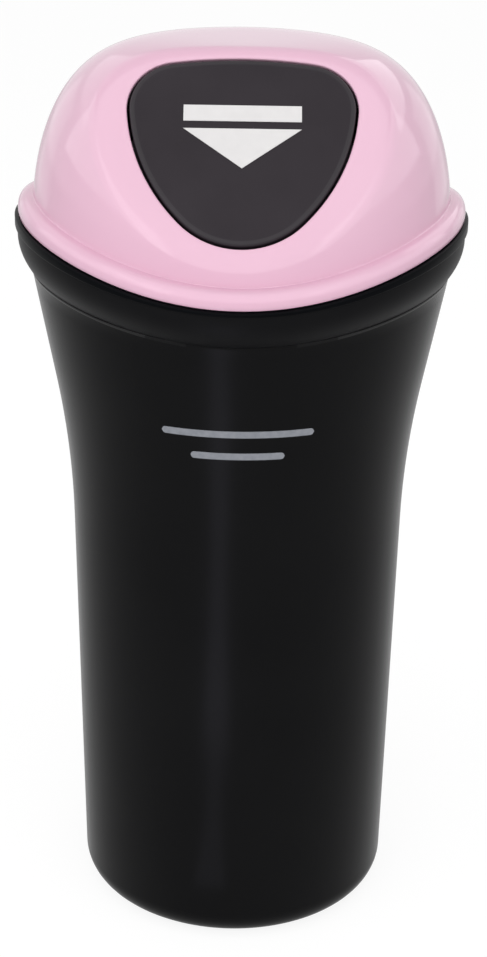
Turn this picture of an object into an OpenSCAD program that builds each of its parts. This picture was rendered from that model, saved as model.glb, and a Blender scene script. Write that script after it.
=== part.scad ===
// Car trash bin: a flared cup with a wavy mouth, a lift-off domed lid and a sprung push flap.
// Origin at the middle of the foot, +Z up, the flap faces -Y. Millimetres.

/* [Cup] */
// Radius of the wall just above the foot
foot_r = 34.7; // [33:0.1:36]
// Radius of the round between the foot and the wall
foot_round_r = 6.5; // [4:0.5:8]
// Radius of the wall where it begins to flare
waist_r = 36.1; // [35:0.1:37]
// Height at which the wall begins to flare
waist_z = 90; // [84:1:94]
// Radius of the curve of the flare
flare_curve_r = 190; // [170:5:220]
// Angle of the flared wall from the vertical, above the curve
flare_angle = 10.8; // [9:0.1:12]
// Thickness of the cup's wall
cup_wall = 1.8; // [1.4:0.1:2]
// Thickness of the cup's floor
floor_t = 2.4; // [2:0.1:4]
// Height of the hollow under the floor
foot_hollow = 1; // [0.5:0.1:1.2]
// Width of the ring that the cup stands on
foot_ring_w = 3; // [2:0.5:5]

/* [Mouth] */
// Height of the ridge under the collar, at the front
ridge_z = 140.3; // [138:0.1:142]
// Rise of the ridge from the front to the sides
ridge_rise = 5.8; // [4:0.1:6.4]
// Depth of the small ledge along the ridge
ledge = 0.35; // [0.2:0.05:0.5]
// Height of the flared collar between the ridge and the lip, at the front
collar_h = 7.4; // [6.6:0.1:8]
// Further height of the collar at the sides
collar_rise = 1.6; // [1:0.1:2]
// Width that the collar flares out from the ridge to the lip
collar_flare = 3.65; // [3:0.05:4.5]
// Swell of the collar between the ridge and the lip
collar_swell = 1.15; // [0.5:0.05:1.3]
// Height of the lip at the front
lip_h = 0.8; // [0.7:0.05:1.2]
// Further height of the lip at the sides
lip_rise = 1.6; // [1:0.1:2]
// Width that the lip stands out past the collar
lip_w = 0.7; // [0.5:0.05:1.2]
// Round on the lip's outer edge
lip_round = 0.3; // [0.1:0.05:0.4]

/* [Lid] */
// Width of the lip that shows past the lid
lip_show = 0.7; // [0.4:0.1:1.2]
// Height of the bead at the front
bead_h = 3.6; // [3:0.1:4.5]
// Further height of the bead at the sides
bead_rise = 0; // [0:0.1:1.2]
// Width of the bead outside the dome
bead_w = 3.2; // [2.6:0.1:3.6]
// Height of the dome's top above the lid's lower edge, at the front
dome_h = 44.2; // [42:0.1:47]
// Squareness of the dome's shoulder, 2 is a plain ellipse
dome_square = 4.4; // [3.8:0.1:5]
// Flatness of the dome's top, 2 is a plain ellipse
dome_flat = 2.2; // [2:0.05:2.4]
// Share of its radius that the dome loses towards the top
dome_draft = 0.07; // [0.05:0.01:0.09]
// Thickness of the lid's wall
lid_wall = 2; // [1.6:0.1:2.2]
// Depth of the skirt that sits in the mouth, as a share of the collar's height
skirt_share = 0.55; // [0.3:0.05:0.7]
// Thickness of the skirt
skirt_t = 1.4; // [1.2:0.1:1.6]

/* [Front face of the lid] */
// Lean of the flat front face back from the vertical
face_lean = 39; // [38:0.5:40]
// Height above the lid's lower edge at which the flat face would leave the dome's side
face_h = 8.2; // [7.8:0.1:8.8]
// Height above the lid's lower edge from which the flat face's blend is measured
mid_h = 11.2; // [10:0.1:12]
// Softness of the edge of the flat face
face_blend = 0.05; // [0.03:0.01:0.08]

/* [Push flap] */
// Sideways place of the centres of the upper corners
corner_x = 12.4; // [12:0.1:13]
// Place of the upper corners up the flat face
corner_u = 32.8; // [32.4:0.1:33.2]
// Radius of the upper corners
corner_r = 9.5; // [9.2:0.05:10]
// Place of the centre of the lower round up the flat face
toe_u = 19.4; // [18.8:0.1:20]
// Radius of the lower round
toe_r = 15.7; // [15.2:0.1:16.4]
// Radius of the curve of the top edge
top_curve_r = 93.5; // [70:0.5:140]
// Radius of the curve of the two sides
side_curve_r = 38.1; // [36:0.1:50]
// Gap between the flap and its opening
flap_gap = 0.5; // [0.3:0.05:0.6]
// Thickness of the flap
flap_t = 2.4; // [2.2:0.1:2.6]
// Height that the flap stands proud of the flat face
flap_proud = 0.4; // [0.2:0.05:0.6]
// Round on the flap's front edge
flap_round = 0.6; // [0.3:0.05:0.8]
// Width of the stop rim that overlaps the lid from inside
stop_w = 1.4; // [1.2:0.1:1.6]
// Thickness of the stop rim
stop_t = 1.2; // [1:0.1:1.4]
// Distance from the centres of the upper corners down to the ends of the stop rim
stop_drop = 5.8; // [5:0.1:10]

/* [Hinge] */
// Distance of the hinge axis above the centres of the flap's upper corners
hinge_rise = 3.7; // [3:0.1:4.2]
// Depth of the hinge axis behind the flat face
hinge_w = 4.6; // [4.5:0.1:5]
// Radius of the hinge pin
pin_r = 1; // [0.8:0.05:1.1]
// Running clearance of the flap on the pin
pin_clear = 0.08; // [0.04:0.01:0.1]
// Radius of the knuckles and ears
knuckle_r = 2.3; // [2.1:0.05:2.4]
// Length of each knuckle of the flap
knuckle_l = 4; // [3:0.1:5]
// Gap between a knuckle and its ear
ear_gap = 0.6; // [0.4:0.05:0.8]
// Clearance of each ear past the side of the flap
ear_clear = 0.6; // [0.5:0.05:1]
// Thickness of each ear
ear_t = 2; // [1.6:0.1:2.2]

/* [Return spring] */
// Radius of the spring's wire
wire_r = 0.35; // [0.25:0.05:0.4]
// Turns of the spring
spring_turns = 5; // [3:1:6]
// Gap between one turn and the next
turn_gap = 0.25; // [0.15:0.05:0.4]
// Gap between the pin and the coil
coil_gap = 0.4; // [0.3:0.05:0.6]
// Length of the leg that presses on the flap
flap_leg = 15; // [10:1:18]
// Distance behind the hinge axis at which the other leg reaches the crown
hook_run = 7.25; // [6.5:0.05:8.5]
// Gap between the hook and the crown
hook_gap = 0.45; // [0.4:0.05:0.6]
// Length of the hook under the crown
hook_l = 4; // [3:0.5:6]

/* [Print] */
// Half width of the triangle and the bar printed on the flap
mark_x = 11.4; // [9:0.1:12]
// Distance from the centres of the flap's upper corners down to the triangle
mark_drop = 4.6; // [3:0.1:6]
// Height of the triangle
mark_h = 8.4; // [6:0.1:9]
// Gap between the triangle and the bar
mark_gap = 1.6; // [1:0.1:2.5]
// Height of the bar
mark_bar_h = 3.4; // [2:0.1:4]
// Thickness of the print
print_t = 0.12; // [0.08:0.02:0.2]
// Clearance under the print on the curved wall
print_gap = 0.03; // [0.02:0.01:0.05]
// Distance of the lower printed line under the ridge
line_drop = 24.4; // [23:0.1:28]
// Height of each printed line on the cup
line_h = 1.5; // [1:0.1:2.5]
// Distance from one printed line to the next
line_step = 4.9; // [4:0.1:6]
// Half angle of the long line about the axis
long_line_angle = 22.5; // [15:0.5:25]
// Half angle of the short line about the axis
short_line_angle = 14; // [8:0.5:14.5]

/* [Fit] */
// Gap between the lid and the mouth of the cup
lid_gap = 0.3; // [0.25:0.05:0.35]

/* [Hidden] */
around = 64;
step_a = 360 / around;
$fn = 64;
black = [0.09, 0.09, 0.1];
pink = [0.95, 0.79, 0.86];
charcoal = [0.21, 0.2, 0.21];
steel = [0.7, 0.71, 0.73];
white = [0.9, 0.9, 0.9];
slate = [0.55, 0.58, 0.63];

// Wall of the cup
taper = atan((waist_r - foot_r) / (waist_z - foot_round_r));
curve_x = waist_r + flare_curve_r * cos(taper);
curve_z = waist_z - flare_curve_r * sin(taper);
flare_z = curve_z + flare_curve_r * sin(flare_angle);
flare_r = curve_x - flare_curve_r * cos(flare_angle);
flare_steps = 8;
wave_steps = 32;
ridge_top_z = ridge_z + ridge_rise;
ridge_r = cup_r(ridge_top_z);
wall_steps = 6;

// Depth that joined pieces run into each other, and that cuts run past a face
weld = 0.3;
embed = 2;

// Heights and radii of the mouth and the lid, each from the piece under it
lip_z = ridge_z + collar_h;
rim_z = lip_z + lip_h + lid_gap;
rim_rise = ridge_rise + collar_rise + lip_rise;
crown_z = rim_z + dome_h;
collar_r = cup_r(ridge_z) + collar_flare;
bead_r = collar_r + lip_w - lip_show;
dome_r = bead_r - bead_w;
face_y = dome_r;
face_z = rim_z + face_h;

// Places on the flat face, measured up it and across it
stop_u = corner_u - stop_drop;
hinge_u = corner_u + hinge_rise;
mark_u = corner_u - mark_drop;
ear_x = corner_x + corner_r + ear_clear;
hinge_y = hinge_u * sin(face_lean) + hinge_w * cos(face_lean) - face_y;
hinge_z = hinge_u * cos(face_lean) - hinge_w * sin(face_lean) + face_z;

// Radius of the cup's outer wall at a height
function cup_r(z) =
    z < waist_z ? waist_r - (waist_z - z) * tan(taper)
    : z < flare_z ? curve_x - sqrt(pow(flare_curve_r, 2) - pow(z - curve_z, 2))
    : flare_r + (z - flare_z) * tan(flare_angle);

// Share of the rise of the wavy mouth at an angle from the front
function wave(a) = 1 - cos(90 * sin(a));
function polar(a, r, z) = [r * sin(a), -r * cos(a), z];
function mix(a, b, s) = a + (b - a) * s;

// Heights along the mouth at an angle from the front
function ridge_at(a) = ridge_z + ridge_rise * wave(a);
function lip_at(a) = lip_z + (ridge_rise + collar_rise) * wave(a);
function rim_at(a) = rim_z + rim_rise * wave(a);
function bead_at(a) = bead_h + bead_rise * wave(a);

// Point of the collar: s runs from the ridge, 0, to the lip, 1
function collar_point(a, s, inset) = polar(a,
    mix(cup_r(ridge_at(a)), collar_r, s) + 4 * collar_swell * s * (1 - s) - inset,
    mix(ridge_at(a), lip_at(a), s));

// Plane of the flat face of the lid
face_out = [0, -cos(face_lean), sin(face_lean)];
dome_mid = [0, 0, rim_z + mid_h];
face_depth = face_out * ([0, -face_y, face_z] - dome_mid);
clear_of_face = 9;

function soft_min(a, b, k) = min(a, b) - pow(max(k - abs(a - b), 0), 2) / (4 * k);

// Point of the dome: s runs from the bead, 0, to the crown, 1, and inset makes the inner skin
function dome_point(a, s, inset) =
    let (
        low = rim_at(a) + bead_at(a),
        r = (dome_r - inset) * pow(1 - pow(s, dome_flat), 1 / dome_square) * (1 - dome_draft * s),
        p = polar(a, r, mix(low, crown_z - inset, s)) - dome_mid,
        along = p * face_out,
        reach = along > 1 ? (face_depth - inset) / along : clear_of_face
    )
    dome_mid + p * soft_min(1, reach, face_blend);

// Share of the dome's height at which it has a small radius
function crown_share(r, inset) =
    pow(1 - pow(r / ((dome_r - inset) * (1 - dome_draft)), dome_square), 1 / dome_flat);

// Steps up the dome, closer at its foot and towards the crown
foot_crowd = 1.4;
crown_crowd = 0.75 * dome_square;
function dome_step(i, n) = 1 - pow(1 - pow(i / n, foot_crowd), crown_crowd);

// Outline of the flap from three rounded corners and three long curves
corners = [[-corner_x, corner_u, corner_r], [corner_x, corner_u, corner_r], [0, toe_u, toe_r]];
curves = [top_curve_r, side_curve_r, side_curve_r];

function curve_mid(i) =
    let (
        a = corners[i],
        b = corners[(i + 1) % 3],
        line = [b[0] - a[0], b[1] - a[1]],
        way = line / norm(line),
        ra = curves[i] - a[2],
        rb = curves[i] - b[2],
        foot = (ra * ra - rb * rb + norm(line) * norm(line)) / (2 * norm(line))
    )
    [a[0], a[1]] + way * foot + [way[1], -way[0]] * sqrt(ra * ra - foot * foot);

function bearing(from, to) = atan2(to[1] - from[1], to[0] - from[0]);
function turn(a, b) = (b - a + 900) % 360 - 180;
function arc(mid, r, a, b, n) = [for (k = [0 : n - 1])
    let (t = a + turn(a, b) * k / n) [mid[0] + r * cos(t), mid[1] + r * sin(t)]];

function flap_outline(grow) = [for (i = [0 : 2])
    let (
        mid = curve_mid(i),
        next = (i + 1) % 3,
        far = corners[next],
        start = bearing(mid, corners[i]),
        end = bearing(mid, far),
        leave = bearing(curve_mid(next), far)
    )
    each concat(arc(mid, curves[i] + grow, start, end, 8), arc(far, far[2] + grow, end, leave, 10))];

// Skin through rings of points, closed by a pole at each end or joined into a loop
module ring_skin(rings, poles = []) {
    n = len(rings[0]);
    m = len(rings);
    loop = len(poles) == 0;
    points = [for (ring = rings) each ring];
    sides = [for (i = [0 : m - (loop ? 1 : 2)], k = [0 : n - 1])
        let (a = i * n, b = (i + 1) % m * n, j = (k + 1) % n)
        each [[a + k, b + k, b + j], [a + k, b + j, a + j]]];
    ends = loop ? [] : [for (k = [0 : n - 1])
        let (j = (k + 1) % n, last = (m - 1) * n)
        each [[m * n, k, j], [m * n + 1, last + j, last + k]]];
    polyhedron(concat(points, poles), concat(sides, ends), convexity = 10);
}

// Local X is across the lid, Y up the flat face and Z out of it
module on_face() {
    translate([0, -face_y, face_z]) rotate([90 - face_lean, 0, 0]) children();
}

// Solid of revolution between the axis and the wall, set in by the wall's thickness if inner
module cup_form(inset, low, round_r, high) {
    corner = [for (k = [0 : wall_steps])
        let (t = 90 * k / wall_steps)
        [cup_r(low + round_r) - inset - round_r * (1 - sin(t)), low + round_r * (1 - cos(t))]];
    wall = [for (k = [0 : flare_steps])
        let (z = mix(waist_z, flare_z, k / flare_steps)) [cup_r(z) - inset, z]];
    rotate_extrude() polygon(concat([[0, low]], corner, wall, [[cup_r(high) - inset, high], [0, high]]));
}

// Everything above the wavy line of the ridge
module above_ridge() {
    half = collar_r + embed;
    line = [for (k = [-wave_steps : wave_steps])
        let (x = half * k / wave_steps)
        [x, ridge_z + ridge_rise * (1 - cos(90 * min(1, abs(x) / ridge_r)))]];
    rotate([90, 0, 0]) linear_extrude(2 * half, center = true)
        polygon(concat(line, [[half, ridge_top_z + half], [-half, ridge_top_z + half]]));
}

// Flared collar with the rolled lip, sunk into the wall below the ridge
module collar() {
    angles = [for (k = [0 : around - 1]) k * step_a];
    low = [for (a = angles) ridge_at(a) - embed];
    lip_r = collar_r + lip_w;
    ring_skin([
        [for (k = [0 : around - 1]) polar(angles[k], cup_r(low[k]) - 2 * ledge, low[k])],
        [for (a = angles) collar_point(a, 0, ledge)],
        [for (a = angles) collar_point(a, 1 / 3, ledge * 2 / 3)],
        [for (a = angles) collar_point(a, 2 / 3, ledge / 3)],
        [for (a = angles) collar_point(a, 1, 0)],
        [for (a = angles) polar(a, lip_r - lip_round, lip_at(a))],
        [for (a = angles) polar(a, lip_r, lip_at(a) + lip_round)],
        [for (a = angles) polar(a, lip_r, rim_at(a) - lid_gap - lip_round)],
        [for (a = angles) polar(a, lip_r - lip_round, rim_at(a) - lid_gap)],
        [for (a = angles) polar(a, collar_r - cup_wall, rim_at(a) - lid_gap)],
        [for (a = angles) collar_point(a, 2 / 3, cup_wall)],
        [for (a = angles) collar_point(a, 1 / 3, cup_wall)],
        [for (a = angles) collar_point(a, 0, cup_wall - ledge)],
        [for (k = [0 : around - 1]) polar(angles[k], cup_r(low[k]) - cup_wall + 2 * ledge, low[k])]
    ]);
}

module bin_body() {
    color(black) {
        difference() {
            cup_form(0, 0, foot_round_r, ridge_top_z + embed);
            cup_form(cup_wall, foot_hollow + floor_t, foot_round_r - cup_wall, ridge_top_z + 2 * embed);
            translate([0, 0, -embed])
                cylinder(r = foot_r - foot_round_r - foot_ring_w, h = embed + foot_hollow);
            above_ridge();
        }
        collar();
    }
}

// Domed shell with the bead along its edge and the skirt under it
module lid_shell() {
    angles = [for (k = [0 : around - 1]) k * step_a];
    tuck = 18;
    bead_angles = [-tuck, 5, 28, 50, 70, 90];
    bead_mid_r = dome_r + weld;
    inner_steps = 11;
    outer_steps = 15;
    skirt_in = cup_wall + lid_gap;
    inner = [for (i = [inner_steps - 1 : -1 : 0])
        [for (a = angles) dome_point(a, dome_step(i, inner_steps), lid_wall)]];
    skirt = [
        [for (a = angles) collar_point(a, 1 - skirt_share, skirt_in + skirt_t)],
        [for (a = angles) collar_point(a, 1 - skirt_share, skirt_in)],
        [for (a = angles) polar(a, collar_r - skirt_in, rim_at(a))]
    ];
    bead = [for (t = bead_angles) [for (a = angles)
        let (half_h = bead_at(a) / (1 + sin(tuck)))
        polar(a, bead_mid_r + (bead_r - bead_mid_r) * cos(t), rim_at(a) + half_h * (sin(tuck) + sin(t)))]];
    outer = [for (i = [0 : outer_steps - 1])
        [for (a = angles) dome_point(a, dome_step(i, outer_steps), 0)]];
    ring_skin(concat(inner, skirt, bead, outer), [[0, 0, crown_z - lid_wall], [0, 0, crown_z]]);
}

// Pair of ears under the flat face that hold the pin
module ears() {
    for (side = [-1, 1])
        translate([side * (ear_x + ear_t / 2), hinge_u, -hinge_w])
            difference() {
                union() {
                    rotate([0, 90, 0]) cylinder(r = knuckle_r, h = ear_t, center = true);
                    translate([-ear_t / 2, -knuckle_r, 0])
                        cube([ear_t, 2 * knuckle_r, hinge_w - lid_wall + weld]);
                }
                rotate([0, 90, 0]) cylinder(r = pin_r, h = 2 * ear_t, center = true);
            }
}

module lid() {
    color(pink) {
        resize([0, 0, 0]) difference() {
            lid_shell();
            on_face() translate([0, 0, -3 * lid_wall])
                linear_extrude(5 * lid_wall) polygon(flap_outline(flap_gap));
            on_face() translate([0, 0, -5 * lid_wall])
                linear_extrude(4 * lid_wall) polygon(flap_outline(stop_w + lid_gap));
        }
        on_face() ears();
    }
}

// Room under the ends of the stop rim
module below_stop() {
    wide = 4 * ear_x;
    translate([-wide / 2, stop_u - wide, -wide / 2]) cube(wide);
}

module push_flap() {
    back = flap_proud - flap_t;
    layers = 3;
    round_share = 0.9;
    knuckle_x = ear_x - ear_gap - knuckle_l;
    stop_z = -lid_wall - lid_gap - stop_t;
    color(charcoal) on_face() difference() {
        union() {
            translate([0, 0, back])
                linear_extrude(flap_t - flap_round) polygon(flap_outline(0));
            for (k = [1 : layers])
                translate([0, 0, flap_proud - flap_round])
                    linear_extrude(flap_round * sin(90 * k / layers))
                        polygon(flap_outline(flap_round * round_share * (cos(90 * k / layers) - 1)));
            intersection() {
                difference() {
                    translate([0, 0, stop_z]) linear_extrude(stop_t) polygon(flap_outline(stop_w));
                    translate([0, 0, stop_z - embed])
                        linear_extrude(stop_t + 2 * embed) polygon(flap_outline(-stop_w));
                }
                below_stop();
            }
            intersection() {
                difference() {
                    translate([0, 0, stop_z])
                        linear_extrude(back - stop_z + weld) polygon(flap_outline(-weld));
                    translate([0, 0, stop_z - embed])
                        linear_extrude(back - stop_z + 2 * embed) polygon(flap_outline(-stop_w));
                }
                below_stop();
            }
            for (x = [-knuckle_x - knuckle_l, knuckle_x])
                translate([x, hinge_u, -hinge_w]) rotate([0, 90, 0])
                    cylinder(r = knuckle_r, h = knuckle_l);
            intersection() {
                translate([0, 0, -hinge_w])
                    linear_extrude(hinge_w + back + weld) polygon(flap_outline(-flap_round));
                for (x = [-knuckle_x - knuckle_l, knuckle_x])
                    translate([x, hinge_u - knuckle_r, -hinge_w])
                        cube([knuckle_l, 2 * knuckle_r, hinge_w]);
            }
        }
        translate([0, hinge_u, -hinge_w]) rotate([0, 90, 0])
            cylinder(r = pin_r + pin_clear, h = 4 * ear_x, center = true);
    }
}

module hinge_pin() {
    pin_l = 2 * (ear_x + ear_t);
    color(steel) on_face() translate([0, hinge_u, -hinge_w]) rotate([0, 90, 0])
        cylinder(r = pin_r, h = pin_l, center = true);
}

// Wire swept along points with a frame that keeps its side across the lid
module wire(path, sides) {
    m = len(path);
    rings = [for (i = [0 : m - 1])
        let (
            way = path[min(i + 1, m - 1)] - path[max(i - 1, 0)],
            ahead = way / norm(way),
            across = cross([1, 0, 0], ahead),
            side = across / norm(across),
            up = cross(ahead, side)
        )
        [for (k = [0 : sides - 1])
            path[i] + wire_r * (side * cos(360 * k / sides) + up * sin(360 * k / sides))]];
    ring_skin(rings, [path[0], path[m - 1]]);
}

module return_spring() {
    coil_r = pin_r + coil_gap + wire_r;
    half_l = spring_turns * (2 * wire_r + turn_gap) / 2;
    crown = dome_point(0, crown_share(abs(hinge_y + hook_run), lid_wall), lid_wall);
    run = crown[1] - hinge_y;
    rise = crown[2] - hook_gap - wire_r - hinge_z;
    back = [sin(face_lean), -cos(face_lean)];
    hook = run * back + rise * [cos(face_lean), sin(face_lean)];
    reach = sqrt(hook * hook - coil_r * coil_r);
    end_a = 360 * spring_turns + atan2(coil_r, reach) - atan2(hook[1], hook[0]);
    steps = ceil(end_a / 30);
    coil = [for (k = [0 : steps])
        let (t = end_a * k / steps)
        [half_l * (2 * k / steps - 1), coil_r * sin(t), coil_r * cos(t)]];
    tip = hook + hook_l * back;
    path = concat(
        [[-half_l, -flap_leg, coil_r], [-half_l, -flap_leg / 2, coil_r]],
        coil,
        [[half_l, hook[0], hook[1]], [half_l, tip[0], tip[1]]]);
    color(steel) on_face() translate([0, hinge_u, -hinge_w]) wire(path, 6);
}

module flap_mark() {
    color(white) on_face() translate([0, 0, flap_proud]) linear_extrude(print_t) {
        polygon([[-mark_x, mark_u], [mark_x, mark_u], [0, mark_u - mark_h]]);
        translate([-mark_x, mark_u + mark_gap]) square([2 * mark_x, mark_bar_h]);
    }
}

// Printed line round the front of the cup
module printed_line(z, half_angle) {
    rotate([0, 0, -90 - half_angle]) rotate_extrude(angle = 2 * half_angle)
        polygon([for (p = [[0, 0], [0, 1], [1, 1], [1, 0]])
            [cup_r(z + p[1] * line_h) + print_gap + p[0] * print_t, z + p[1] * line_h]]);
}

module body_mark() {
    color(slate) {
        printed_line(ridge_z - line_drop, short_line_angle);
        printed_line(ridge_z - line_drop + line_step, long_line_angle);
    }
}

bin_body();
lid();
push_flap();
hinge_pin();
return_spring();
flap_mark();
body_mark();
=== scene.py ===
# Small car trash bin: a black cup with a wavy mouth, a pink domed lid and a sprung push flap.
# Sizes are in millimetres until a mesh is made, and every angle round the bin is from its front.
from math import atan, atan2, ceil, cos, hypot, pi, radians, sin, sqrt, tan

import bmesh
import bpy
import numpy as np
from mathutils import Matrix


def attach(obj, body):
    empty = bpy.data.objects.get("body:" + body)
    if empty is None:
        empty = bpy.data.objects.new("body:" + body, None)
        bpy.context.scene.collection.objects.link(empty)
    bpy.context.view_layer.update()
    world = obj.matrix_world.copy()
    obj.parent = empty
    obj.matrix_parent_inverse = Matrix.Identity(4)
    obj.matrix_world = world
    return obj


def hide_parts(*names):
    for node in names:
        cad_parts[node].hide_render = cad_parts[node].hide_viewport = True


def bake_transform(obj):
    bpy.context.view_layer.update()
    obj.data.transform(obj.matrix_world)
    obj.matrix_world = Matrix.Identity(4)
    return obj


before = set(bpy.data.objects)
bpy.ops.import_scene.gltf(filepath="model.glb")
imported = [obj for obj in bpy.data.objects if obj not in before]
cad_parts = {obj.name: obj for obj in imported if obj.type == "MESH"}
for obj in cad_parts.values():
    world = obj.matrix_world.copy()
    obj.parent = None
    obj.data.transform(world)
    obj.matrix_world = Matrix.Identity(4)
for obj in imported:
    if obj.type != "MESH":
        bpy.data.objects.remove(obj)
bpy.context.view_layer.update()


# ---- Cup ------------------------------------------------------------------------------------
# The cup is one moulding of black plastic with a satin face. It stands on a low ring round a
# hollow foot, tapers to go into a cup holder, flares above the waist, steps in along a wavy
# ridge and ends in a rolled lip that dips in front and behind.
MM = 0.001
foot_r, foot_round, foot_ring, foot_hollow = 34.7, 6.5, 3.0, 1.0
waist_r, waist_z, flare_curve, flare_angle = 36.1, 90.0, 190.0, radians(10.8)
cup_wall, floor_t = 1.8, 2.4
ridge_z, ridge_rise, ledge = 140.3, 5.8, 0.15
collar_h, collar_rise, collar_flare, collar_swell = 7.4, 1.6, 3.65, 1.15
lip_h, lip_rise, lip_w, lip_round = 0.8, 1.6, 0.7, 0.3

taper = atan((waist_r - foot_r) / (waist_z - foot_round))
curve_x = waist_r + flare_curve * cos(taper)
curve_z = waist_z - flare_curve * sin(taper)
flare_z = curve_z + flare_curve * sin(flare_angle)
flare_r = curve_x - flare_curve * cos(flare_angle)


def cup_radius(z):
    """Radius of the cup's outer wall at a height."""
    z = np.asarray(z, float)
    curve = curve_x - np.sqrt(np.maximum(flare_curve**2 - (z - curve_z) ** 2, 0))
    low = waist_r - (waist_z - z) * tan(taper)
    high = flare_r + (z - flare_z) * tan(flare_angle)
    return np.where(z < waist_z, low, np.where(z < flare_z, curve, high))


lip_z = ridge_z + collar_h
collar_r = float(cup_radius(ridge_z)) + collar_flare
lip_r = collar_r + lip_w


def mouth_wave(a):
    """Share of the rise of the wavy mouth: none in front and behind, all of it at the sides."""
    return 1 - np.cos(pi / 2 * np.sin(a))


def ridge_height(a):
    return ridge_z + ridge_rise * mouth_wave(a)


def lip_height(a):
    return lip_z + (ridge_rise + collar_rise) * mouth_wave(a)


def lip_top(a):
    return lip_z + lip_h + (ridge_rise + collar_rise + lip_rise) * mouth_wave(a)


def ring(a, radius, height):
    """Ring of points about the bin's axis, one for each angle."""
    radius, height = np.broadcast_to(radius, a.shape), np.broadcast_to(height, a.shape)
    return np.stack([radius * np.sin(a), -radius * np.cos(a), height], axis=1)


def collar_ring(a, share, inset):
    """Ring of the collar, share from its foot at the ridge, 0, to the lip, 1."""
    low, high = ridge_height(a), lip_height(a)
    radius = cup_radius(low) * (1 - share) + collar_r * share + 4 * collar_swell * share * (1 - share)
    return ring(a, radius - inset, low * (1 - share) + high * share)


def finished_mesh(name, mesh, sharp=radians(50)):
    """Object made of a mesh, smooth apart from its sharp corners."""
    bmesh.ops.recalc_face_normals(mesh, faces=mesh.faces)
    data = bpy.data.meshes.new(name)
    mesh.to_mesh(data)
    mesh.free()
    data.shade_smooth()
    data.set_sharp_from_angle(angle=sharp)
    made = bpy.data.objects.new(name, data)
    bpy.context.scene.collection.objects.link(made)
    return made


def corner_row(mesh, points):
    """Row of a mesh's corners, at points given in millimetres."""
    return [mesh.verts.new(np.asarray(p, float) * MM) for p in points]


def bridge(mesh, rows, looped=True, round_rows=True):
    """Faces from row to row: looped joins the last row to the first, round_rows each row's ends."""
    for i in range(len(rows) if looped else len(rows) - 1):
        one, two = rows[i], rows[(i + 1) % len(rows)]
        for k in range(len(one) if round_rows else len(one) - 1):
            j = (k + 1) % len(one)
            mesh.faces.new((one[k], two[k], two[j], one[j]))


def skin(name, rings, ends=()):
    """Smooth closed skin through rings of points: capped by two end points, or joined into a loop."""
    mesh = bmesh.new()
    rows = [corner_row(mesh, points) for points in rings]
    bridge(mesh, rows, looped=not ends)
    for end, row in zip(ends, (rows[0], rows[-1])):
        tip, = corner_row(mesh, [end])
        for k in range(len(row)):
            mesh.faces.new((tip, row[k], row[(k + 1) % len(row)]))
    return finished_mesh(name, mesh)


def paint(piece, around, ring_from, ring_to, slot):
    """Give the faces between two rings of a skin, so many of them around, one of its materials."""
    for face in piece.data.polygons[ring_from * around:ring_to * around]:
        face.material_index = slot


def moulded_plastic(name, dark, light, patch, rough, grain, depth, gloss):
    """Moulded plastic: two near tones in soft patches, and a fine grain in its gloss and relief.

    patch, grain and depth are the sizes of the patches and the grain and how deep the grain is,
    in millimetres."""
    finish = bpy.data.materials.new(name)
    finish.use_nodes = True
    nodes, links = finish.node_tree.nodes, finish.node_tree.links
    surface = nodes["Principled BSDF"]
    surface.inputs["Specular IOR Level"].default_value = gloss
    place = nodes.new("ShaderNodeTexCoord")

    patches = nodes.new("ShaderNodeTexNoise")
    patches.inputs["Scale"].default_value = 1 / (patch * MM)
    patches.inputs["Detail"].default_value = 3
    tone = nodes.new("ShaderNodeValToRGB")
    tone.color_ramp.elements[0].position, tone.color_ramp.elements[1].position = 0.3, 0.7
    tone.color_ramp.elements[0].color, tone.color_ramp.elements[1].color = (*dark, 1), (*light, 1)
    links.new(place.outputs["Object"], patches.inputs["Vector"])
    links.new(patches.outputs["Fac"], tone.inputs["Fac"])
    links.new(tone.outputs["Color"], surface.inputs["Base Color"])

    grains = nodes.new("ShaderNodeTexNoise")
    grains.inputs["Scale"].default_value = 1 / (grain * MM)
    grains.inputs["Detail"].default_value = 2
    sheen = nodes.new("ShaderNodeMapRange")
    sheen.inputs["To Min"].default_value, sheen.inputs["To Max"].default_value = rough
    links.new(place.outputs["Object"], grains.inputs["Vector"])
    links.new(grains.outputs["Fac"], sheen.inputs["Value"])
    links.new(sheen.outputs["Result"], surface.inputs["Roughness"])

    relief = nodes.new("ShaderNodeBump")
    relief.inputs["Strength"].default_value = 0.6
    relief.inputs["Distance"].default_value = depth * MM
    links.new(grains.outputs["Fac"], relief.inputs["Height"])
    links.new(relief.outputs["Normal"], surface.inputs["Normal"])
    return finish


round_bin = np.linspace(0, 2 * pi, 288, endpoint=False)
foot_in = foot_r - foot_round - foot_ring
cup_rings = [ring(round_bin, r, foot_hollow) for r in (8, 17, foot_in - 0.4)]
hollow_edge = ((-0.1, 0.9), (0.0, 0.6), (0.0, 0.3), (0.1, 0.1), (0.4, 0.0))
cup_rings += [ring(round_bin, foot_in + x, z) for x, z in hollow_edge]
for t in np.radians(np.linspace(0, 90, 14)):
    radius = cup_radius(foot_round) - foot_round * (1 - sin(t))
    cup_rings.append(ring(round_bin, radius, foot_round * (1 - cos(t))))
for z in np.linspace(foot_round, waist_z, 9)[1:]:
    cup_rings.append(ring(round_bin, cup_radius(z), z))
for share in np.linspace(0, 1, 22)[1:]:
    z = waist_z + (ridge_height(round_bin) - 0.5 - waist_z) * share
    cup_rings.append(ring(round_bin, cup_radius(z), z))

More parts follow.
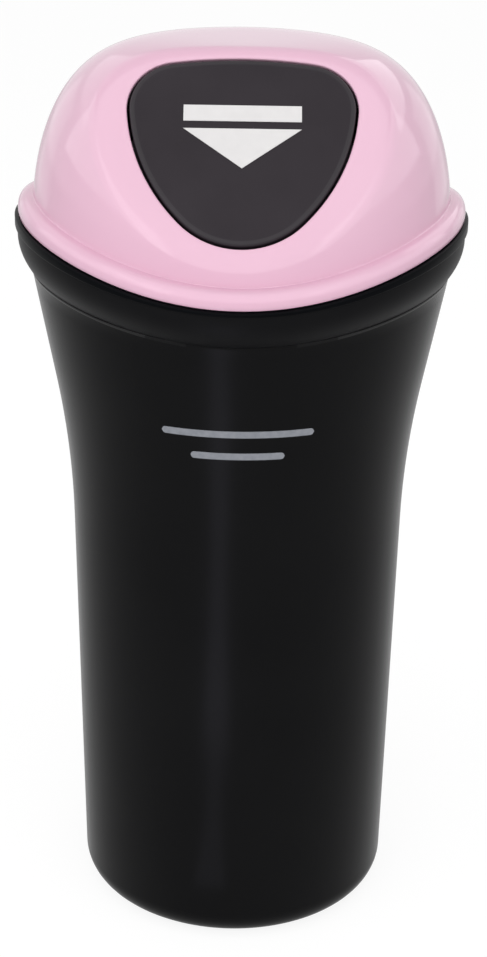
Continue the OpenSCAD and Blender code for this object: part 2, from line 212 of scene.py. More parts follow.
# The ridge: a fine raised line where the wall ends and the collar starts. It runs out towards
# the front and the back of the bin
ridge_end, ridge_fade = 0.25, 0.35
ridge_profile = ((0.05, -0.22), (0.09, -0.1), (0.08, 0.02), (0.0, 0.1), (-0.1, 0.13))
ridge_and_highlight_shows = np.clip((np.abs(np.sin(round_bin)) - ridge_end) / ridge_fade, 0, 1)
ridge_from = len(cup_rings) - 1
z = ridge_height(round_bin)
for out, up in ridge_profile:
    cup_rings.append(ring(round_bin, cup_radius(z) + out * ridge_and_highlight_shows, z + up))
collar_from = len(cup_rings) - 1
for share in np.linspace(0.03, 1, 14):
    cup_rings.append(collar_ring(round_bin, share, ledge * (1 - share) * ridge_and_highlight_shows))

# The rolled lip: a small shelf out from the collar, a rounded edge, and the flat top
lip_from = len(cup_rings) - 1
low, top = lip_height(round_bin), lip_top(round_bin)
cup_rings.append(ring(round_bin, collar_r + 0.15, low + 0.01))
for t in np.radians((0, 30, 60, 90)):
    cup_rings.append(ring(round_bin, lip_r - lip_round * (1 - sin(t)), low + lip_round * (1 - cos(t))))
for t in np.radians((0, 30, 60, 90)):
    cup_rings.append(ring(round_bin, lip_r - lip_round * (1 - cos(t)), top - lip_round * (1 - sin(t))))
cup_rings.append(ring(round_bin, collar_r - cup_wall + 0.25, top))
lip_to = len(cup_rings) - 1
cup_rings.append(ring(round_bin, collar_r - cup_wall + 0.05, top - 0.08))
cup_rings.append(ring(round_bin, collar_r - cup_wall, top - 0.3))
for share in np.linspace(1, 0, 8):
    cup_rings.append(collar_ring(round_bin, share, cup_wall))
for share in np.linspace(1, 0, 16):
    z = waist_z + (ridge_height(round_bin) - 1 - waist_z) * share
    cup_rings.append(ring(round_bin, cup_radius(z) - cup_wall, z))
floor_z, inner_round = foot_hollow + floor_t, foot_round - cup_wall
for t in np.radians(np.linspace(90, 0, 9)):
    radius = cup_radius(floor_z + inner_round) - cup_wall - inner_round * (1 - sin(t))
    cup_rings.append(ring(round_bin, radius, floor_z + inner_round * (1 - cos(t))))
cup_rings.append(ring(round_bin, 12, floor_z))

cup = skin("cup_moulding", cup_rings, ((0, 0, foot_hollow), (0, 0, floor_z)))
WALL, RIDGE_HIGHLIGHT, COLLAR, LIP_SHADE, FAINT_HIGHLIGHT = range(5)
# The ridge's two finishes are lighter than the wall: a painted highlight along the raised line, the fainter one
# where the line runs out.
finishes = (("satin_black_plastic", (0.0026, 0.0026, 0.003), (0.0036, 0.0036, 0.004), 30, (0.2, 0.27), 0.012, 0.07),
            ("ridge_painted_highlight", (0.004, 0.004, 0.0045), (0.007, 0.007, 0.0075), 6, (0.24, 0.34), 0.008, 0.2),
            ("satin_collar", (0.0024, 0.0024, 0.003), (0.0036, 0.0036, 0.0042), 12, (0.36, 0.46), 0.008, 0.072),
            # The lip's finish is darker and bluer than the wall: painted shade under the lid's bead.
            ("lip_painted_shade", (0.0016, 0.0019, 0.0026), (0.0022, 0.0026, 0.0034), 12, (0.3, 0.36), 0.008, 0.03),
            ("faint_ridge_painted_highlight", (0.003, 0.003, 0.0035), (0.005, 0.005, 0.0055), 6, (0.24, 0.34), 0.008, 0.11))
for name, dark, light, patch, rough, depth, gloss in finishes:
    cup.data.materials.append(moulded_plastic(name, dark, light, patch, rough, 0.35, depth, gloss))
paint(cup, len(round_bin), ridge_from, collar_from, RIDGE_HIGHLIGHT)
paint(cup, len(round_bin), collar_from, lip_from, COLLAR)
paint(cup, len(round_bin), lip_from, lip_to, LIP_SHADE)
# Where the raised line runs out, its painted highlight goes faint, then gives way to the plain wall.
for face in cup.data.polygons[ridge_from * len(round_bin):collar_from * len(round_bin)]:
    shows = ridge_and_highlight_shows[face.index % len(round_bin)]
    if shows < 0.5:
        face.material_index = FAINT_HIGHLIGHT if shows > 0 else WALL
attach(cup, "bin")
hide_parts("bin_body")


# ---- Lines printed on the cup -----------------------------------------------------------------
# Two thin lines of blue-grey ink, pad printed across the front of the flared wall, the long one
# over the short one. The ink is a hair thick, soft at its edge, and a little patchy.
ink_t, ink_gap = 0.12, 0.03
line_drop, line_h, line_step = 24.4, 1.5, 4.9
long_half, short_half = radians(22.5), radians(14)


def printed_line(z, half_angle):
    """Thin layer of ink round the front of the wall, with rounded ends."""
    thinnest, face_share = 0.02, 0.97
    angles = np.linspace(-half_angle, half_angle, 96)
    mid = z + line_h / 2
    end = np.clip((half_angle - np.abs(angles)) * cup_radius(mid) / (line_h / 2), 0, 1)
    half = np.maximum(line_h / 2 * np.sqrt(1 - (1 - end) ** 2), thinnest)
    layers = []
    for lift, way, share in ((0, -1, 1), (ink_t, 1, face_share)):
        for v in np.linspace(-way, way, 7):
            height = mid + half * v * share
            layers.append(ring(angles, cup_radius(height) + ink_gap + lift, height))
    return layers


ink = bmesh.new()
for z, half_angle in ((ridge_z - line_drop, short_half), (ridge_z - line_drop + line_step, long_half)):
    rows = [corner_row(ink, layer) for layer in printed_line(z, half_angle)]
    bridge(ink, rows, round_rows=False)
    for k in (0, -1):
        ink.faces.new([row[k] for row in rows])
cup_lines = finished_mesh("cup_printed_lines", ink)
blue_grey_ink = moulded_plastic("blue_grey_ink", (0.198, 0.208, 0.234), (0.242, 0.252, 0.28), patch=1.2,
                                rough=(0.5, 0.7), grain=0.2, depth=0.006, gloss=0.3)
cup_lines.data.materials.append(blue_grey_ink)
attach(cup_lines, "bin")
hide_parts("body_mark")


# ---- Domed lid --------------------------------------------------------------------------------
# The lid is one glossy pink moulding: a squarish dome whose front is cut to a flat sloping face,
# a round bead that lies on the lip, a skirt inside the mouth, and the opening for the flap with
# a recess round its inner edge. It lifts off, held by nothing but the skirt.
lid_gap, lip_show = 0.3, 0.7
bead_h, bead_w, bead_tuck = 3.6, 3.2, radians(18)
dome_h, dome_square, dome_flat, dome_draft = 44.2, 4.4, 2.2, 0.07
lid_wall, skirt_share, skirt_t = 2.0, 0.55, 1.4
face_lean, face_h, mid_h, face_blend = radians(39), 8.2, 11.2, 0.05
corner_x, corner_u, corner_r = 12.4, 32.8, 9.5
toe_u, toe_r, top_curve, side_curve = 19.4, 15.7, 93.5, 38.1
flap_gap, stop_w = 0.5, 1.4

rim_z = lip_z + lip_h + lid_gap
crown_z = rim_z + dome_h
bead_r = lip_r - lip_show
bead_mid = bead_r - bead_w + 0.3
dome_r = bead_r - bead_w
dome_mid = np.array([0, 0, rim_z + mid_h])
face_foot = np.array([0, -dome_r, rim_z + face_h])
face_out = np.array([0, -cos(face_lean), sin(face_lean)])
face_up = np.array([0, sin(face_lean), cos(face_lean)])


def rim_height(a):
    return lip_top(a) + lid_gap


def dome_radius(s, inset):
    """Radius of the dome before its front is cut flat, s from the bead, 0, to the crown, 1."""
    return (dome_r - inset) * np.maximum(1 - s**dome_flat, 0) ** (1 / dome_square) * (1 - dome_draft * s)


def dome_point(a, s, inset):
    """Point of the dome's skin at an angle, s from the bead, 0, to the crown, 1."""
    low, radius = rim_height(a) + bead_h, dome_radius(s, inset)
    height = low + (crown_z - inset - low) * s
    p = np.stack([radius * np.sin(a), -radius * np.cos(a), height], axis=-1) - dome_mid
    along = p @ face_out
    depth = face_out @ (face_foot - dome_mid) - inset
    beyond = 9  # stands for a point whose way out never meets the flat face
    reach = np.where(along > 1, depth / np.maximum(along, 1), beyond)
    blend = np.maximum(face_blend - np.abs(1 - reach), 0) ** 2 / (4 * face_blend)
    return dome_mid + p * (np.minimum(1, reach) - blend)[..., None]


# Places on the dome as on a flat disc, with the crown in its middle and the bead round its edge
up_dome = 1 - (1 - np.linspace(0, 1, 6000)) ** dome_square
profile = dome_point(np.full(len(up_dome), pi / 2), up_dome, 0.0)
walked = np.concatenate([[0], np.cumsum(np.linalg.norm(np.diff(profile, axis=0), axis=1))])
walked = 1 - walked / walked[-1]


def dome_at(disc, inset):
    """Points of the dome's skin at places on the disc."""
    out = np.hypot(disc[..., 0], disc[..., 1])
    a = np.arctan2(disc[..., 0], -disc[..., 1])
    return dome_point(a, np.interp(out, walked[::-1], up_dome[::-1]), inset)


def on_face(p):
    """Points given across the lid, up its flat face and out of it."""
    p = np.asarray(p, float)
    return face_foot + p[..., :1] * np.array([1.0, 0, 0]) + p[..., 1:2] * face_up + p[..., 2:3] * face_out


# The flap's outline: three rounded corners joined by three long curves
corners = [np.array([-corner_x, corner_u]), np.array([corner_x, corner_u]), np.array([0, toe_u])]
corner_radii = [corner_r, corner_r, toe_r]
curve_radii = [top_curve, side_curve, side_curve]


def curve_middle(i):
    a, b = corners[i], corners[(i + 1) % 3]
    length = hypot(*(b - a))
    way = (b - a) / length
    ra, rb = curve_radii[i] - corner_radii[i], curve_radii[i] - corner_radii[(i + 1) % 3]
    foot = (ra**2 - rb**2 + length**2) / (2 * length)
    return a + way * foot + np.array([way[1], -way[0]]) * sqrt(ra**2 - foot**2)


def bearing(start, end):
    return atan2(end[1] - start[1], end[0] - start[0])


outline_arcs = []
for i in range(3):
    mid, after = curve_middle(i), (i + 1) % 3
    start, end = bearing(mid, corners[i]), bearing(mid, corners[after])
    leave = bearing(curve_middle(after), corners[after])
    for centre, radius, first, last in ((mid, curve_radii[i], start, end),
                                        (corners[after], corner_radii[after], end, leave)):
        outline_arcs.append((centre, radius, first, (last - first + pi) % (2 * pi) - pi))
arc_lengths = np.array([radius * abs(sweep) for _, radius, _, sweep in outline_arcs])
arc_ends = np.concatenate([[0], np.cumsum(arc_lengths)]) / arc_lengths.sum()


def flap_outline(places, grow):
    """Points across and up the flat face, at shares of the way round the outline grown by a width."""
    points = np.empty((len(places), 2))
    which = np.clip(np.searchsorted(arc_ends, places, side="right") - 1, 0, 5)
    for i, (centre, radius, first, sweep) in enumerate(outline_arcs):
        here = which == i
        t = first + sweep * (places[here] - arc_ends[i]) / (arc_ends[i + 1] - arc_ends[i])
        points[here] = centre + (radius + grow) * np.stack([np.cos(t), np.sin(t)], axis=1)
    return points


def outline_on_dome(places, grow, inset):
    """Where the outline, pushed straight in, meets the dome's skin: its places on the disc."""
    wanted = flap_outline(places, grow)
    aim = wanted.copy()
    for _ in range(12):
        way = on_face(np.column_stack([aim, np.full(len(aim), -inset)])) - dome_mid
        a = np.arctan2(way[:, 0], -way[:, 1])
        rise = rim_height(a) + bead_h
        low, high = np.zeros(len(a)), np.ones(len(a))
        for _ in range(44):
            s = (low + high) / 2
            z = rise + (crown_z - inset - rise) * s - dome_mid[2]
            above = z * np.hypot(way[:, 0], way[:, 1]) > way[:, 2] * dome_radius(s, inset)
            low, high = np.where(above, low, s), np.where(above, s, high)
        p = dome_point(a, s, inset) - face_foot
        aim += wanted - np.column_stack([p[:, 0], p @ face_up])
    t = np.interp(s, up_dome, walked)
    return np.column_stack([t * np.sin(a), -t * np.cos(a)])


# Where the ribs of the skin start on the opening: spread over both the opening and the bead
edge_round = 0.3
dense = np.linspace(0, 1, 3000, endpoint=False)
opening = outline_on_dome(dense, flap_gap + edge_round, 0.0)
hub = opening.mean(axis=0)
turned = np.unwrap(np.arctan2(*(opening - hub).T[::-1]))
way_round = np.sign(turned[-1] - turned[0])


def rim_of_disc(angle):
    """Place on the disc's edge straight out from the hub of the opening."""
    x, y = np.cos(angle), np.sin(angle)
    b = hub[0] * x + hub[1] * y
    far = -b + np.sqrt(b**2 + 1 - hub @ hub)
    return np.column_stack([hub[0] + far * x, hub[1] + far * y])


at_bead = np.unwrap(np.arctan2(*rim_of_disc(turned).T[::-1]))
bead_share, ribs = 0.5, 384
spread = (1 - bead_share) * dense + bead_share * (at_bead - at_bead[0]) / (2 * pi * way_round)
places = np.interp(np.linspace(0, 1, ribs, endpoint=False), spread, dense)
rib_angle = np.interp(places, dense, turned)
disc_edge = rim_of_disc(rib_angle)
round_lid = np.arctan2(disc_edge[:, 0], -disc_edge[:, 1])

# Outer skin: the opening's rounded edge, then the dome down to the crease over the bead
open_disc = outline_on_dome(places, flap_gap + edge_round, 0.0)
lid_rings = []
for t in np.radians((0, 22, 45, 67)):
    disc = outline_on_dome(places, flap_gap + edge_round * (1 - cos(t)), 0.0)
    lid_rings.append(dome_at(disc, 0.0) - face_out * edge_round * (1 - sin(t)))
crowd_up = 1.1
for share in np.linspace(0, 1, 104)[:-1] ** crowd_up:
    lid_rings.append(dome_at(open_disc + (disc_edge - open_disc) * share, 0.0))
foot = dome_point(round_lid, np.zeros(ribs), 0.0)
lid_rings.append(foot + [0, 0, 0.12])
out = np.column_stack([np.sin(round_lid), -np.cos(round_lid), np.zeros(ribs)])
lid_rings.append(foot + out * 0.1)

# The bead, a little fuller than an ellipse, the skirt under it and the inner skin up to the
# recess round the opening
bead_full, bead_high = 0.72, 0.85
half_h = bead_h / (1 + sin(bead_tuck))
rim = rim_height(round_lid)
for t in np.linspace(pi / 2, -bead_tuck, 24):
    radius = bead_mid + (bead_r - bead_mid) * cos(t) ** bead_full
    rise = sin(t) ** bead_high if t > 0 else sin(t)
    lid_rings.append(ring(round_lid, radius, rim + half_h * (sin(bead_tuck) + rise)))
skirt_in = cup_wall + lid_gap
lid_rings.append(ring(round_lid, bead_r - 0.5, rim))
lid_rings.append(ring(round_lid, collar_r - skirt_in + 0.15, rim))
lid_rings.append(ring(round_lid, collar_r - skirt_in, rim - 0.15))
for share in np.linspace(1, 1 - skirt_share + 0.03, 5):
    lid_rings.append(collar_ring(round_lid, share, skirt_in))
lid_rings.append(collar_ring(round_lid, 1 - skirt_share, skirt_in + 0.25))
lid_rings.append(collar_ring(round_lid, 1 - skirt_share, skirt_in + skirt_t - 0.25))
lid_rings.append(collar_ring(round_lid, 1 - skirt_share + 0.03, skirt_in + skirt_t))
landing = outline_on_dome(places, stop_w + lid_gap, lid_wall)
for share in np.linspace(1, 0, 56):
    lid_rings.append(dome_at(landing + (disc_edge - landing) * share, lid_wall))
for grow, lift in ((stop_w + lid_gap, 0.02), (stop_w, 0.02), (flap_gap + 0.1, 0.02), (flap_gap, 0.12)):
    lid_rings.append(on_face(np.column_stack([flap_outline(places, grow), np.full(ribs, lift - lid_wall)])))

lid = skin("domed_lid", lid_rings)
glossy_pink = moulded_plastic("glossy_pink_plastic", (0.71, 0.43, 0.555), (0.74, 0.46, 0.585), patch=60,
                              rough=(0.07, 0.11), grain=0.9, depth=0.0015, gloss=0.5)
lid.data.materials.append(glossy_pink)
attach(lid, "lid")
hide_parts("lid")


# ---- Ears inside the lid ----------------------------------------------------------------------
# Two ears stand under the flat face, one past each side of the flap, moulded with the lid. The
# pin is pressed through a hole in each of them.
hinge_rise, hinge_w, pin_r, pin_clear = 3.7, 4.6, 1.0, 0.08
knuckle_r, knuckle_l, ear_gap, ear_clear, ear_t = 2.3, 4.0, 0.6, 0.6, 2.0
hinge_u = corner_u + hinge_rise
ear_x = corner_x + corner_r + ear_clear


def hinge_row(mesh, x, shape):
    """Row of a mesh's corners at x across the lid, their places up and out from the hinge axis."""
    return corner_row(mesh, on_face([(x, hinge_u + u, w - hinge_w) for u, w in shape]))


def hinge_lug(mesh, x_from, x_to, hole, top):
    """Lug round the hinge axis with a hole through it, round below and straight up to the face."""
    shape = [(knuckle_r * cos(t), knuckle_r * sin(t)) for t in np.radians(np.linspace(180, 360, 25))]
    shape += [(knuckle_r, top * f) for f in (0.33, 0.66, 1.0)]
    shape += [(knuckle_r * f, top) for f in (0.5, 0.0, -0.5, -1.0)]
    shape += [(-knuckle_r, top * f) for f in (0.66, 0.33)]
    bevel = 0.2
    loops = []
    for x, inset in ((x_from, bevel), (x_from + bevel, 0), (x_to - bevel, 0), (x_to, bevel)):
        share = 1 - inset / knuckle_r
        loops.append(hinge_row(mesh, x, [(u * share, w * share) for u, w in shape]))
    for x in (x_to, x_from):
        loops.append(hinge_row(mesh, x, [(hole * u / hypot(u, w), hole * w / hypot(u, w)) for u, w in shape]))
    bridge(mesh, loops)


ear_sunk = 0.25
lugs = bmesh.new()
for side in (-1, 1):
    hinge_lug(lugs, *sorted((side * ear_x, side * (ear_x + ear_t))), pin_r, hinge_w - lid_wall + ear_sunk)
ears = finished_mesh("lid_ears", lugs, radians(35))
ears.data.materials.append(glossy_pink)
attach(ears, "lid")
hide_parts("lid")


# ---- Push flap --------------------------------------------------------------------------------
# The flap is a plate of dark grey plastic with a fine matte grain and a rounded front edge. A
# stop rim behind it catches the lid from inside, and two knuckles on its back turn on the pin.
flap_t, flap_proud, flap_round, stop_t, stop_drop = 2.4, 0.4, 0.6, 1.2, 5.8
flap_back = flap_proud - flap_t
stop_low = -lid_wall - lid_gap - stop_t
round_flap = np.linspace(0, 1, 320, endpoint=False)


def flap_ring(grow, w, places=round_flap):
    return on_face(np.column_stack([flap_outline(places, grow), np.full(len(places), w)]))


def shrunk(points, share):
    return points.mean(axis=0) + (points - points.mean(axis=0)) * share


plate = [shrunk(flap_ring(-8, flap_proud), 0.4)]
plate += [flap_ring(grow, flap_proud) for grow in (-8, -4, -1.6, -1.0, -flap_round - 0.1)]
edge_from = len(plate) - 2
for t in np.radians(np.linspace(90, 0, 9)):
    plate.append(flap_ring(flap_round * (cos(t) - 1), flap_proud - flap_round * (1 - sin(t))))
edge_to = len(plate) - 2
plate += [flap_ring(grow, flap_back + up) for grow, up in ((0, 0.2), (-0.2, 0), (-3, 0), (-8, 0))]
plate.append(shrunk(flap_ring(-8, flap_back), 0.4))
flap_mid_u = 27
flap = skin("push_flap_plate", plate, [on_face((0, flap_mid_u, w)) for w in (flap_proud, flap_back)])
flap_grey = moulded_plastic("matte_dark_grey_plastic", (0.0175, 0.0135, 0.0175), (0.022, 0.0175, 0.022), patch=14,
                            rough=(0.48, 0.6), grain=0.28, depth=0.02, gloss=0.16)
# The rounded edge's finish is a little lighter than the face, a painted highlight, and smoother in its gloss.
flap_edge_highlight = moulded_plastic("flap_edge_painted_highlight", (0.0185, 0.0148, 0.0185), (0.0235, 0.019, 0.0235), patch=14,
                            rough=(0.38, 0.48), grain=0.28, depth=0.008, gloss=0.24)
for finish in (flap_grey, flap_edge_highlight):
    flap.data.materials.append(finish)
paint(flap, len(round_flap), edge_from, edge_to, 1)
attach(flap, "flap")
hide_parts("push_flap")

# The stop rim: an L in section, open at the top where the knuckles are
below = flap_outline(dense, 0)[:, 1] < corner_u - stop_drop
first = int(np.argmax(below & ~np.roll(below, 1)))
run = np.roll(dense, -first)[: int(below.sum())]
run = run[:: max(1, len(run) // 150)]
stop_top, stop_wall, bevel, sunk = stop_low + stop_t, 0.3, 0.2, 0.15
section = ((-stop_w, flap_back + sunk), (-stop_w, stop_low + bevel), (-stop_w + bevel, stop_low),
           (stop_w - bevel, stop_low), (stop_w, stop_low + bevel), (stop_w, stop_top - bevel),
           (stop_w - bevel, stop_top), (-stop_wall, stop_top), (-stop_wall, flap_back + sunk))
stop = bmesh.new()
rails = [corner_row(stop, flap_ring(grow, w, run)) for grow, w in section]
bridge(stop, rails, round_rows=False)
for k in (0, -1):
    stop.faces.new([rail[k] for rail in rails])
stop_rim = finished_mesh("flap_stop_rim", stop, radians(35))

# The knuckles, each on a web that follows the flap's upper corner. A short round boss on each runs
# on to just short of the ear, so that no bright steel shows in the gap round the flap
boss_r, boss_gap, boss_sunk = 1.7, 0.2, 0.1
knuckle_top, web_rise = 1.4, 0.9
round_pin = np.linspace(0, 2 * pi, 24, endpoint=False)
knuckles = bmesh.new()
knuckle_x = ear_x - ear_gap - knuckle_l
boss_from, boss_to, bore_r = knuckle_x + knuckle_l - boss_sunk, ear_x - boss_gap, pin_r + pin_clear
for side in (-1, 1):
    hinge_lug(knuckles, *sorted((side * knuckle_x, side * (knuckle_x + knuckle_l))), bore_r, knuckle_top)
    boss = ((boss_from, boss_r), (boss_to, boss_r), (boss_to, bore_r), (boss_from, bore_r))
    bridge(knuckles, [hinge_row(knuckles, side * x, [(r * cos(t), r * sin(t)) for t in round_pin]) for x, r in boss])
    web_r = corner_r - flap_round
    low_u, high_u = hinge_u - knuckle_r, hinge_u + knuckle_r
    arc = [(corner_x + sqrt(web_r**2 - (u - corner_u) ** 2), u) for u in np.linspace(low_u, high_u, 12)]
    corner = [(x, u) for x, u in arc if x > knuckle_x] + [(knuckle_x, high_u), (knuckle_x, low_u)]
    web = [corner_row(knuckles, on_face([(side * x, u, w) for x, u in corner]))
           for w in (web_rise - hinge_w, flap_back + sunk)]
    bridge(knuckles, web, looped=False)
    for row in web:
        knuckles.faces.new(row)
flap_knuckles = finished_mesh("flap_knuckles", knuckles, radians(35))
for piece in (stop_rim, flap_knuckles):
    piece.data.materials.append(flap_grey)
    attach(piece, "flap")
    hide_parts("push_flap")


# ---- Print on the flap ------------------------------------------------------------------------
# A plain bar over a triangle that points down, pad printed in off-white ink. The solids are the
# print's own shape, so they stay and get the ink's slightly chalky face.
white_ink = moulded_plastic("off_white_ink", (0.66, 0.645, 0.645), (0.685, 0.67, 0.67), patch=2.5,
                            rough=(0.45, 0.62), grain=0.2, depth=0.004, gloss=0.3)
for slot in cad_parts["flap_mark"].material_slots:
    slot.material = white_ink


# ---- Hinge pin and return spring --------------------------------------------------------------
# The pin is a straight length of drawn steel wire. The spring is wound from thin spring steel:
# five turns round the pin, a leg that presses on the flap's back, and a hook under the crown.
def drawn_steel(name, tone, streak):
    """Bright drawn steel: fine streaks along the wire in its gloss and its tone."""
    finish = bpy.data.materials.new(name)
    finish.use_nodes = True
    nodes, links = finish.node_tree.nodes, finish.node_tree.links
    surface = nodes["Principled BSDF"]
    surface.inputs["Metallic"].default_value = 1
    place, stretch = nodes.new("ShaderNodeTexCoord"), nodes.new("ShaderNodeMapping")
    stretch.inputs["Scale"].default_value = (0.12, 1, 1)
    streaks, shade = nodes.new("ShaderNodeTexNoise"), nodes.new("ShaderNodeValToRGB")
    gloss = nodes.new("ShaderNodeMapRange")
    streaks.inputs["Scale"].default_value = 1 / (streak * MM)
    shade.color_ramp.elements[0].color = (*[c * 0.8 for c in tone], 1)
    shade.color_ramp.elements[1].color = (*tone, 1)
    gloss.inputs["To Min"].default_value, gloss.inputs["To Max"].default_value = 0.18, 0.36
    links.new(place.outputs["Object"], stretch.inputs["Vector"])
    links.new(stretch.outputs["Vector"], streaks.inputs["Vector"])
    links.new(streaks.outputs["Fac"], shade.inputs["Fac"])
    links.new(streaks.outputs["Fac"], gloss.inputs["Value"])
    links.new(shade.outputs["Color"], surface.inputs["Base Color"])
    links.new(gloss.outputs["Result"], surface.inputs["Roughness"])
    return finish


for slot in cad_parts["hinge_pin"].material_slots:
    slot.material = drawn_steel("drawn_steel_pin", (0.62, 0.63, 0.65), 0.3)

wire_r, spring_turns, turn_gap, coil_gap = 0.35, 5, 0.25, 0.4
flap_leg, hook_run, hook_gap, hook_l = 15.0, 7.25, 0.45, 4.0
coil_r = pin_r + coil_gap + wire_r
half_l = spring_turns * (2 * wire_r + turn_gap) / 2
hinge = on_face((0, hinge_u, -hinge_w))
way_out = abs(hinge[1] + hook_run) / ((dome_r - lid_wall) * (1 - dome_draft))
crown_share = (1 - way_out**dome_square) ** (1 / dome_flat)
crown = dome_point(np.array(0.0), np.array(crown_share), lid_wall)
to_hook = crown - [0, 0, hook_gap + wire_r] - hinge
hook = np.array([to_hook @ face_up, to_hook @ face_out])
lid_back = np.array([sin(face_lean), -cos(face_lean)])
touch = sqrt(hook @ hook - coil_r**2)
end_turn = 2 * pi * spring_turns + atan2(coil_r, touch) - atan2(hook[1], hook[0])
route = [(-half_l, -flap_leg * f, coil_r) for f in (1.0, 0.75, 0.5, 0.3, 0.21, 0.19, 0.17, 0.15, 0.12, 0.06)]
for t in np.linspace(0, end_turn, ceil(end_turn / radians(10))):
    route.append((half_l * (2 * t / end_turn - 1), coil_r * sin(t), coil_r * cos(t)))
leave = np.array(route[-1][1:])
for f in (0.3, 0.6, 0.9):
    route.append((half_l, *(leave + (hook - leave) * f)))
for f in (0.1, 0.5, 1.0):
    route.append((half_l, *(hook + lid_back * hook_l * f)))
route = np.array(route)
ahead = np.gradient(route, axis=0)
ahead /= np.linalg.norm(ahead, axis=1)[:, None]
side = np.cross([1.0, 0, 0], ahead)
side /= np.linalg.norm(side, axis=1)[:, None]
over = np.cross(ahead, side)
round_wire = np.linspace(0, 2 * pi, 12, endpoint=False)
wire = []
for p, s, o in zip(route, side, over):
    around = [p + wire_r * (s * cos(t) + o * sin(t)) for t in round_wire]
    wire.append(on_face(np.array(around) + [0, hinge_u, -hinge_w]))
ends = [on_face(route[i] + [0, hinge_u, -hinge_w]) for i in (0, -1)]
spring = skin("return_spring_wire", wire, ends)
spring.data.materials.append(drawn_steel("spring_steel", (0.5, 0.51, 0.53), 0.9))
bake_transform(spring)
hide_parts("return_spring")


# ---- Table, light and camera ------------------------------------------------------------------
# A white studio table under a broad lamp that reaches from the front to overhead, with a low fill
# in front. Cards at the sides and behind and two narrow cool strips on the table show in gloss
# alone. The table keeps the bin's soft shadow and is white to the camera.
def white_where_seen(tree, plain, out, strength, to_eye, in_gloss):
    """White of a strength over a plain shader: how much the eye, and gloss and clear parts, see."""
    nodes, links = tree.nodes, tree.links
    rays, white, mix = (nodes.new("ShaderNode" + kind) for kind in ("LightPath", "Emission", "MixShader"))
    white.inputs["Strength"].default_value = strength
    eye, gloss, weaker, seen = (nodes.new("ShaderNodeMath") for _ in range(4))
    eye.operation = weaker.operation = "MULTIPLY"
    gloss.operation = seen.operation = "MAXIMUM"
    eye.inputs[1].default_value, weaker.inputs[1].default_value = to_eye, in_gloss
    links.new(rays.outputs["Is Camera Ray"], eye.inputs[0])
    links.new(rays.outputs["Is Glossy Ray"], gloss.inputs[0])
    links.new(rays.outputs["Is Transmission Ray"], gloss.inputs[1])
    links.new(gloss.outputs[0], weaker.inputs[0])
    links.new(eye.outputs[0], seen.inputs[0])
    links.new(weaker.outputs[0], seen.inputs[1])
    for i, node in enumerate((seen, plain, white)):
        links.new(node.outputs[0], mix.inputs[i])
    links.new(mix.outputs[0], out.inputs["Surface"])


table_mesh = bmesh.new()
bmesh.ops.create_grid(table_mesh, x_segments=8, y_segments=8, size=8)
table = finished_mesh("studio_table", table_mesh)
white_table = bpy.data.materials.new("white_table")
white_table.use_nodes = True
nodes = white_table.node_tree.nodes
board = nodes["Principled BSDF"]
board.inputs["Base Color"].default_value = (0.88, 0.88, 0.88, 1)
board.inputs["Roughness"].default_value = 0.9
board.inputs["Specular IOR Level"].default_value = 0.1
white_where_seen(white_table.node_tree, board, nodes["Material Output"], strength=1.09, to_eye=0.8, in_gloss=0.32)
table.data.materials.append(white_table)

room = bpy.data.worlds.new("studio")
bpy.context.scene.world = room
room.use_nodes = True
nodes = room.node_tree.nodes
nodes.clear()
sky, out = nodes.new("ShaderNodeBackground"), nodes.new("ShaderNodeOutputWorld")
sky.inputs["Color"].default_value = (0.58, 0.58, 0.58, 1)
white_where_seen(room.node_tree, sky, out, strength=1.0, to_eye=1.0, in_gloss=1.0)


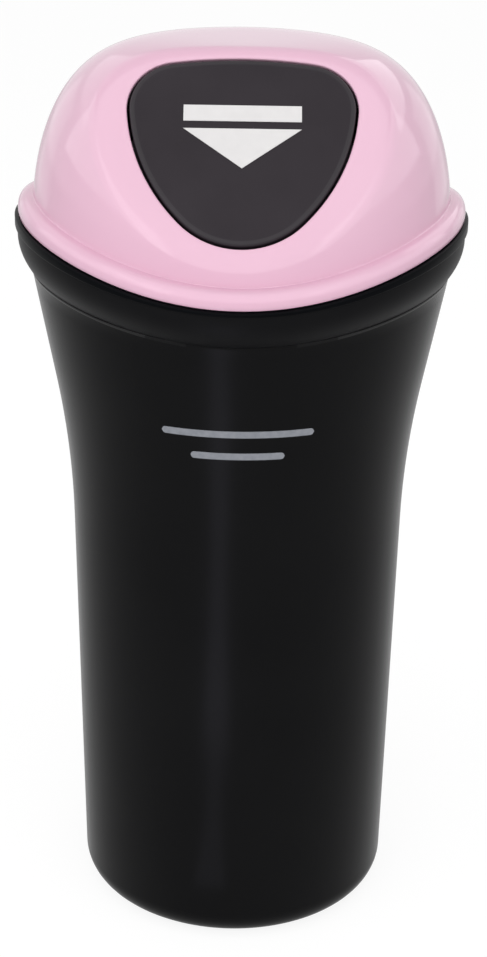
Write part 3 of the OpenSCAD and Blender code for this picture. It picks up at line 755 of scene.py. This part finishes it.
def soft_lamp(name, bearing, far, height, wide, tall, brightness, aim=None):
    """Flat soft lamp: its bearing from the front in degrees, and its distance and sizes in metres.

    It stands upright, or faces the bin's axis at the height aim. brightness is what a mirror
    would show of it, where the white of the table is 1."""
    light = bpy.data.lights.new(name, "AREA")
    light.shape, light.size, light.size_y = "RECTANGLE", wide, tall
    light.energy = brightness * pi * wide * tall
    lamp = bpy.data.objects.new(name, light)
    bpy.context.scene.collection.objects.link(lamp)
    a = radians(bearing)
    place = np.array([far * sin(a), -far * cos(a), height])
    back = place - [0, 0, height if aim is None else aim]
    back /= np.linalg.norm(back)
    across = np.array([cos(a), sin(a), 0])
    turn = np.column_stack([across, np.cross(back, across), back])
    lamp.matrix_world = Matrix.Translation(place.tolist()) @ Matrix(turn.tolist()).to_4x4()
    lamp.visible_camera = False
    return lamp


soft_lamp("front_lamp", -6, 0.585, 0.711, 1.5, 1.34, 0.93, aim=0.165)
soft_lamp("low_front_fill", -10, 0.8, 0.2, 1.0, 0.4, 0.75).visible_glossy = False
cards = [soft_lamp("low_cool_strip", -11, 0.2, 0.004, 0.034, 0.18, 1.8, aim=50),
         soft_lamp("near_cool_strip", -11, 0.079, 0.004, 0.013, 0.062, 0.75, aim=50)]
for card in cards:
    card.data.color = (0.82, 0.8, 1.0)
for side, hand, back, high in ((-1, "left", 0.3, 0.45), (1, "right", 0.38, 1.0)):
    wide_card = soft_lamp(hand + "_side_card", 73 * side, 0.8, 0.6, 1.5, 0.73, 1.0)
    wide_card.matrix_world @= Matrix.Rotation(radians(6) * side, 4, "Z")
    cards += [wide_card, soft_lamp(hand + "_back_card", 139 * side, 0.9, 0.22, 0.38, 0.4, back),
              soft_lamp(hand + "_high_card", 134 * side, 0.7, 0.86, 0.72, 0.84, high)]
for card in cards:
    card.visible_diffuse = False

camera_data = bpy.data.cameras.new("photo_camera")
sensor_mm, focal_px, tall_px = 36, 1850, 957
camera_data.sensor_width = sensor_mm
camera_data.lens = sensor_mm * focal_px / tall_px
camera_data.clip_start = 0.01
camera = bpy.data.objects.new("photo_camera", camera_data)
bpy.context.scene.collection.objects.link(camera)
tilt, roll = radians(21.42), radians(0.89)
level, upright = np.array([1, 0, 0]), np.array([0, sin(tilt), cos(tilt)])
axes = np.column_stack([cos(roll) * level + sin(roll) * upright, cos(roll) * upright - sin(roll) * level,
                        [0, -cos(tilt), sin(tilt)]])
camera.matrix_world = Matrix.Translation((0.00124, -0.3809, 0.2464)) @ Matrix(axes.tolist()).to_4x4()
bpy.context.scene.camera = camera
bpy.context.scene.view_settings.view_transform = "Standard"
